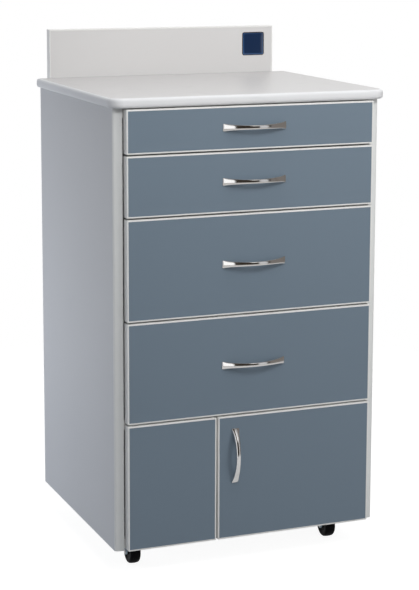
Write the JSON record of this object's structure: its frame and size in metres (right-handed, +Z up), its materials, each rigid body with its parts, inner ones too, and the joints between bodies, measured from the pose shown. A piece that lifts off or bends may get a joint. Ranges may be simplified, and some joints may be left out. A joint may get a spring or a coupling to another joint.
{
  "type": "mobile clinic cabinet",
  "caption": "Floor-standing clinic cabinet on swivel castors, with full-width drawers of growing height over a narrow door and a wide door, a rounded worktop and a low backsplash.",
  "frame": {"origin": "on the floor under the middle of the bounding box", "axes": "+Z up, -Y out of the drawer fronts, +X to the right as seen from the front"},
  "size_m": [0.579, 0.5354, 1.0486],
  "materials": {
    "grey_laminate": "satin laminate",
    "worktop_laminate": "satin laminate",
    "pale_edging": "satin plastic edging",
    "white_board": "melamine faced board",
    "white_hardboard": "smooth board",
    "blue_laminate": "satin laminate",
    "satin_nickel": "polished nickel plate",
    "plated_steel": "zinc plate",
    "castor_steel": "zinc plate",
    "black_tyre": "smooth black",
    "navy_badge": "glossy",
    "black_plastic": "matte"
  },
  "bodies": {
    "cabinet": {"side_panel_left": "grey_laminate", "side_panel_right": "grey_laminate", "side_edges": "pale_edging", "bottom_panel": "white_board", "fixed_shelf": "white_board", "partition": "white_board", "back_panel": "white_hardboard", "top_rails": "white_board", "worktop": "worktop_laminate", "worktop_edge": "pale_edging", "backsplash": "grey_laminate", "backsplash_edge": "pale_edging", "badge": "navy_badge", "loose_shelf": "white_board", "shelf_cleats": "white_board", "cabinet_runners": "plated_steel", "hinge_arms": "plated_steel", "touch_latch": "black_plastic", "castor_plates": "castor_steel"},
    "drawer_1": {"drawer_front_1": "blue_laminate", "drawer_front_edge_1": "pale_edging", "drawer_box_1": "white_board", "drawer_floor_1": "white_hardboard", "drawer_runners_1": "plated_steel", "drawer_pull_1": "satin_nickel"},
    "drawer_2": {"drawer_front_2": "blue_laminate", "drawer_front_edge_2": "pale_edging", "drawer_box_2": "white_board", "drawer_floor_2": "white_hardboard", "drawer_runners_2": "plated_steel", "drawer_pull_2": "satin_nickel"},
    "drawer_3": {"drawer_front_3": "blue_laminate", "drawer_front_edge_3": "pale_edging", "drawer_box_3": "white_board", "drawer_floor_3": "white_hardboard", "drawer_runners_3": "plated_steel", "drawer_pull_3": "satin_nickel"},
    "drawer_4": {"drawer_front_4": "blue_laminate", "drawer_front_edge_4": "pale_edging", "drawer_box_4": "white_board", "drawer_floor_4": "white_hardboard", "drawer_runners_4": "plated_steel", "drawer_pull_4": "satin_nickel"},
    "left_door": {"left_door": "blue_laminate", "left_door_edge": "pale_edging", "left_door_hinge_cups": "plated_steel"},
    "right_door": {"right_door": "blue_laminate", "right_door_edge": "pale_edging", "right_door_hinge_cups": "plated_steel", "right_door_pull": "satin_nickel"},
    "castor_1": {"castor_fork_1": "castor_steel"},
    "wheel_1": {"castor_wheel_1": "black_tyre"},
    "castor_2": {"castor_fork_2": "castor_steel"},
    "wheel_2": {"castor_wheel_2": "black_tyre"},
    "castor_3": {"castor_fork_3": "castor_steel"},
    "wheel_3": {"castor_wheel_3": "black_tyre"},
    "castor_4": {"castor_fork_4": "castor_steel"},
    "wheel_4": {"castor_wheel_4": "black_tyre"}
  },
  "joints": [
    {"name": "drawer_1_slide", "type": "slide", "parent": "cabinet", "child": "drawer_1", "axis": [0, -1, 0], "range_m": [0, 0.3]},
    {"name": "drawer_2_slide", "type": "slide", "parent": "cabinet", "child": "drawer_2", "axis": [0, -1, 0], "range_m": [0, 0.3]},
    {"name": "drawer_3_slide", "type": "slide", "parent": "cabinet", "child": "drawer_3", "axis": [0, -1, 0], "range_m": [0, 0.3]},
    {"name": "drawer_4_slide", "type": "slide", "parent": "cabinet", "child": "drawer_4", "axis": [0, -1, 0], "range_m": [0, 0.3]},
    {"name": "left_door_hinge", "type": "hinge", "parent": "cabinet", "child": "left_door", "pos_m": [-0.2595, -0.23025, 0.18725], "axis": [0, 0, -1], "range_deg": [0, 100]},
    {"name": "right_door_hinge", "type": "hinge", "parent": "cabinet", "child": "right_door", "pos_m": [0.2595, -0.23025, 0.18725], "axis": [0, 0, 1], "range_deg": [0, 100]},
    {"name": "castor_1_swivel", "type": "hinge", "parent": "cabinet", "child": "castor_1", "pos_m": [-0.216, -0.12525, 0.0625], "axis": [0, 0, 1], "continuous": true},
    {"name": "castor_2_swivel", "type": "hinge", "parent": "cabinet", "child": "castor_2", "pos_m": [0.216, -0.12525, 0.0625], "axis": [0, 0, 1], "continuous": true},
    {"name": "castor_3_swivel", "type": "hinge", "parent": "cabinet", "child": "castor_3", "pos_m": [-0.216, 0.17275, 0.0625], "axis": [0, 0, 1], "continuous": true},
    {"name": "castor_4_swivel", "type": "hinge", "parent": "cabinet", "child": "castor_4", "pos_m": [0.216, 0.17275, 0.0625], "axis": [0, 0, 1], "continuous": true},
    {"name": "wheel_1_spin", "type": "hinge", "parent": "castor_1", "child": "wheel_1", "pos_m": [-0.216, -0.14525, 0.025], "axis": [1, 0, 0], "continuous": true},
    {"name": "wheel_2_spin", "type": "hinge", "parent": "castor_2", "child": "wheel_2", "pos_m": [0.216, -0.14525, 0.025], "axis": [1, 0, 0], "continuous": true},
    {"name": "wheel_3_spin", "type": "hinge", "parent": "castor_3", "child": "wheel_3", "pos_m": [-0.216, 0.15275, 0.025], "axis": [1, 0, 0], "continuous": true},
    {"name": "wheel_4_spin", "type": "hinge", "parent": "castor_4", "child": "wheel_4", "pos_m": [0.216, 0.15275, 0.025], "axis": [1, 0, 0], "continuous": true}
  ]
}
